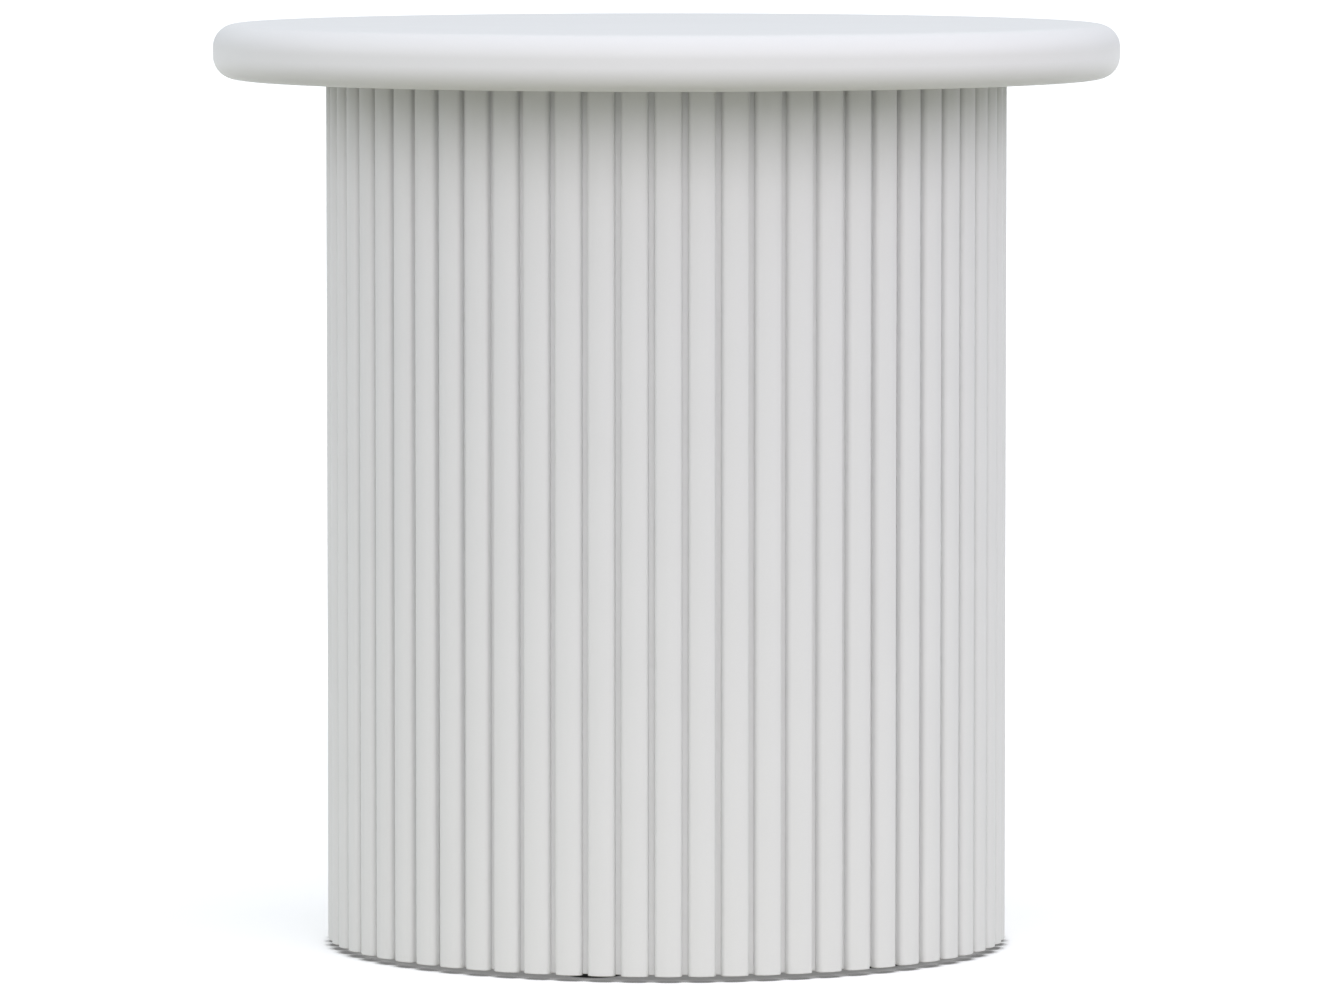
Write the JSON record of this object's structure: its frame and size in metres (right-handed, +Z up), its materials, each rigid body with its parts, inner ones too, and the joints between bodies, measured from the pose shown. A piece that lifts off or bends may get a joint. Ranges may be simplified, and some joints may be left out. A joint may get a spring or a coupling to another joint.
{
  "type": "patio side table",
  "caption": "Round patio side table: a thick top with a fully rounded edge on a fluted drum base that stands on low levelling feet, which screw in and out.",
  "frame": {"origin": "on the floor, under the middle of the round top, with the feet screwed fully in", "axes": "+Z up along the table's axis; -Y is the front, the side that the picture shows; +X to the right of it"},
  "size_m": [0.4999, 0.5, 0.509],
  "materials": {
    "top_coat": "satin",
    "flute_coat": "matte",
    "frame_coat": "matte",
    "core_board": "matte",
    "insert_brass": "satin",
    "zinc_steel": "satin",
    "plug_plastic": "matte",
    "black_nylon": "matte"
  },
  "bodies": {
    "table": {"top_skin": "top_coat", "top_core": "core_board", "top_underside_panel": "top_coat", "threaded_inserts": "insert_brass", "top_bolts": "zinc_steel", "bolt_washers": "zinc_steel", "upper_flange": "frame_coat", "drum": "flute_coat", "drum_hoop": "frame_coat", "flutes_01": "flute_coat", "flutes_02": "flute_coat", "flutes_03": "flute_coat", "flutes_04": "flute_coat", "flutes_05": "flute_coat", "flutes_06": "flute_coat", "flutes_07": "flute_coat", "flutes_08": "flute_coat", "flutes_09": "flute_coat", "flutes_10": "flute_coat", "flutes_11": "flute_coat", "flutes_12": "flute_coat", "flutes_13": "flute_coat", "flutes_14": "flute_coat", "flutes_15": "flute_coat", "flutes_16": "flute_coat", "flute_end_plugs": "plug_plastic", "lower_flange": "frame_coat", "foot_bushes": "frame_coat"},
    "pad_1": {"foot_pad_1": "black_nylon"},
    "stud_1": {"foot_stud_1": "zinc_steel"},
    "pad_2": {"foot_pad_2": "black_nylon"},
    "stud_2": {"foot_stud_2": "zinc_steel"},
    "pad_3": {"foot_pad_3": "black_nylon"},
    "stud_3": {"foot_stud_3": "zinc_steel"},
    "pad_4": {"foot_pad_4": "black_nylon"},
    "stud_4": {"foot_stud_4": "zinc_steel"},
    "pad_5": {"foot_pad_5": "black_nylon"},
    "stud_5": {"foot_stud_5": "zinc_steel"},
    "pad_6": {"foot_pad_6": "black_nylon"},
    "stud_6": {"foot_stud_6": "zinc_steel"}
  },
  "joints": [
    {"name": "pad_1_height", "type": "slide", "parent": "table", "child": "pad_1", "axis": [0, 0, -1], "range_m": [0, 0.01]},
    {"name": "stud_1_turn", "type": "hinge", "parent": "pad_1", "child": "stud_1", "pos_m": [-0.03906, -0.15103, 0.01], "axis": [0, 0, -1], "range_deg": [0, 2880]},
    {"name": "pad_2_height", "type": "slide", "parent": "table", "child": "pad_2", "axis": [0, 0, -1], "range_m": [0, 0.01]},
    {"name": "stud_2_turn", "type": "hinge", "parent": "pad_2", "child": "stud_2", "pos_m": [0.11127, -0.10934, 0.01], "axis": [0, 0, -1], "range_deg": [0, 2880]},
    {"name": "pad_3_height", "type": "slide", "parent": "table", "child": "pad_3", "axis": [0, 0, -1], "range_m": [0, 0.01]},
    {"name": "stud_3_turn", "type": "hinge", "parent": "pad_3", "child": "stud_3", "pos_m": [0.15033, 0.04169, 0.01], "axis": [0, 0, -1], "range_deg": [0, 2880]},
    {"name": "pad_4_height", "type": "slide", "parent": "table", "child": "pad_4", "axis": [0, 0, -1], "range_m": [0, 0.01]},
    {"name": "stud_4_turn", "type": "hinge", "parent": "pad_4", "child": "stud_4", "pos_m": [0.03906, 0.15103, 0.01], "axis": [0, 0, -1], "range_deg": [0, 2880]},
    {"name": "pad_5_height", "type": "slide", "parent": "table", "child": "pad_5", "axis": [0, 0, -1], "range_m": [0, 0.01]},
    {"name": "stud_5_turn", "type": "hinge", "parent": "pad_5", "child": "stud_5", "pos_m": [-0.11127, 0.10934, 0.01], "axis": [0, 0, -1], "range_deg": [0, 2880]},
    {"name": "pad_6_height", "type": "slide", "parent": "table", "child": "pad_6", "axis": [0, 0, -1], "range_m": [0, 0.01]},
    {"name": "stud_6_turn", "type": "hinge", "parent": "pad_6", "child": "stud_6", "pos_m": [-0.15033, -0.04169, 0.01], "axis": [0, 0, -1], "range_deg": [0, 2880]}
  ],
  "couplings": [
    {"joint": "pad_1_height", "follows": "stud_1_turn", "m_per_rad": 0.00019894},
    {"joint": "pad_2_height", "follows": "stud_2_turn", "m_per_rad": 0.00019894},
    {"joint": "pad_3_height", "follows": "stud_3_turn", "m_per_rad": 0.00019894},
    {"joint": "pad_4_height", "follows": "stud_4_turn", "m_per_rad": 0.00019894},
    {"joint": "pad_5_height", "follows": "stud_5_turn", "m_per_rad": 0.00019894},
    {"joint": "pad_6_height", "follows": "stud_6_turn", "m_per_rad": 0.00019894}
  ]
}
